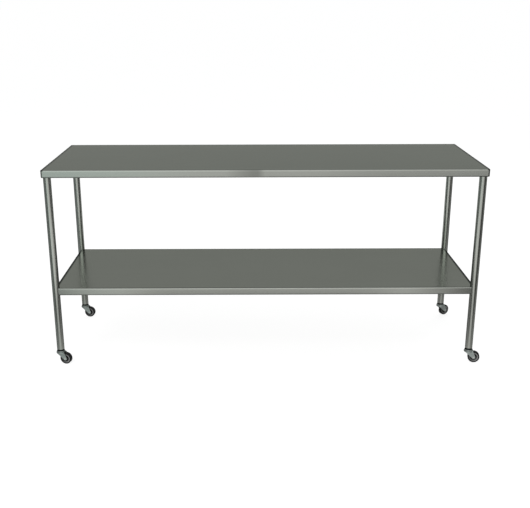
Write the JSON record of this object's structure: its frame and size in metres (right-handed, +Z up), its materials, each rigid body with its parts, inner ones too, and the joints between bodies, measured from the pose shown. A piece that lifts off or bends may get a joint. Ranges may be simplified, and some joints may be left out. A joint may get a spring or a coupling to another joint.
{
  "type": "instrument table",
  "caption": "Long two-tier stainless steel instrument table with folded-edge top and shelf, round tube legs and small swivel casters.",
  "frame": {"origin": "on the floor, at the plan centre of the table top", "axes": "+X along the table's length to the right, +Y towards the back, +Z up"},
  "size_m": [1.8581, 0.6138, 0.8636],
  "materials": {
    "table_sheet": "satin brushed stainless sheet, grain along the length",
    "leg_tube": "satin stainless tube, polished round",
    "weld": "weld bead, brushed clean",
    "socket_steel": "turned steel insert",
    "spring_steel": "spring steel",
    "caster_zinc": "zinc-plated pressed steel, slightly green-grey",
    "ball_steel": "hardened and polished balls",
    "axle_steel": "zinc-plated rivet",
    "bearing_nylon": "natural nylon",
    "wheel_plastic": "dark grey moulded plastic",
    "tyre_rubber": "hard black rubber"
  },
  "bodies": {
    "table": {"table_top": "table_sheet", "top_channel_front": "table_sheet", "top_channel_rear": "table_sheet", "gusset_welds": "weld", "shelf": "table_sheet", "shelf_channel": "table_sheet", "shelf_welds": "weld", "leg_front_left": "leg_tube", "leg_front_right": "leg_tube", "leg_back_left": "leg_tube", "leg_back_right": "leg_tube", "top_gusset_front_left": "table_sheet", "top_gusset_front_right": "table_sheet", "top_gusset_back_left": "table_sheet", "top_gusset_back_right": "table_sheet", "stem_socket_front_left": "socket_steel", "stem_socket_front_right": "socket_steel", "stem_socket_back_left": "socket_steel", "stem_socket_back_right": "socket_steel", "grip_ring_front_left": "spring_steel", "grip_ring_front_right": "spring_steel", "grip_ring_back_left": "spring_steel", "grip_ring_back_right": "spring_steel", "caster_stem_front_left": "caster_zinc", "caster_stem_front_right": "caster_zinc", "caster_stem_back_left": "caster_zinc", "caster_stem_back_right": "caster_zinc", "bearing_cup_front_left": "caster_zinc", "bearing_cup_front_right": "caster_zinc", "bearing_cup_back_left": "caster_zinc", "bearing_cup_back_right": "caster_zinc"},
    "swivel_front_left": {"bearing_balls_front_left": "ball_steel", "caster_fork_front_left": "caster_zinc", "wheel_axle_front_left": "axle_steel"},
    "wheel_front_left": {"wheel_bearing_front_left": "bearing_nylon", "wheel_core_front_left": "wheel_plastic", "wheel_tyre_front_left": "tyre_rubber"},
    "swivel_front_right": {"bearing_balls_front_right": "ball_steel", "caster_fork_front_right": "caster_zinc", "wheel_axle_front_right": "axle_steel"},
    "wheel_front_right": {"wheel_bearing_front_right": "bearing_nylon", "wheel_core_front_right": "wheel_plastic", "wheel_tyre_front_right": "tyre_rubber"},
    "swivel_back_left": {"bearing_balls_back_left": "ball_steel", "caster_fork_back_left": "caster_zinc", "wheel_axle_back_left": "axle_steel"},
    "wheel_back_left": {"wheel_bearing_back_left": "bearing_nylon", "wheel_core_back_left": "wheel_plastic", "wheel_tyre_back_left": "tyre_rubber"},
    "swivel_back_right": {"bearing_balls_back_right": "ball_steel", "caster_fork_back_right": "caster_zinc", "wheel_axle_back_right": "axle_steel"},
    "wheel_back_right": {"wheel_bearing_back_right": "bearing_nylon", "wheel_core_back_right": "wheel_plastic", "wheel_tyre_back_right": "tyre_rubber"}
  },
  "joints": [
    {"name": "swivel_front_left", "type": "hinge", "parent": "table", "child": "swivel_front_left", "pos_m": [-0.89443, -0.27832, 0.0539], "axis": [0, 0, 1], "continuous": true},
    {"name": "roll_front_left", "type": "hinge", "parent": "swivel_front_left", "child": "wheel_front_left", "pos_m": [-0.87162, -0.28401, 0.0254], "axis": [0.2419, 0.9703, 0], "continuous": true},
    {"name": "swivel_front_right", "type": "hinge", "parent": "table", "child": "swivel_front_right", "pos_m": [0.89443, -0.27832, 0.0539], "axis": [0, 0, 1], "continuous": true},
    {"name": "roll_front_right", "type": "hinge", "parent": "swivel_front_right", "child": "wheel_front_right", "pos_m": [0.91757, -0.28241, 0.0254], "axis": [0.1736, 0.9848, 0], "continuous": true},
    {"name": "swivel_back_left", "type": "hinge", "parent": "table", "child": "swivel_back_left", "pos_m": [-0.89443, 0.27832, 0.0539], "axis": [0, 0, 1], "continuous": true},
    {"name": "roll_back_left", "type": "hinge", "parent": "swivel_back_left", "child": "wheel_back_left", "pos_m": [-0.87128, 0.27424, 0.0254], "axis": [0.1736, 0.9848, 0], "continuous": true},
    {"name": "swivel_back_right", "type": "hinge", "parent": "table", "child": "swivel_back_right", "pos_m": [0.89443, 0.27832, 0.0539], "axis": [0, 0, 1], "continuous": true},
    {"name": "roll_back_right", "type": "hinge", "parent": "swivel_back_right", "child": "wheel_back_right", "pos_m": [0.91498, 0.28972, 0.0254], "axis": [-0.4848, 0.8746, 0], "continuous": true}
  ]
}
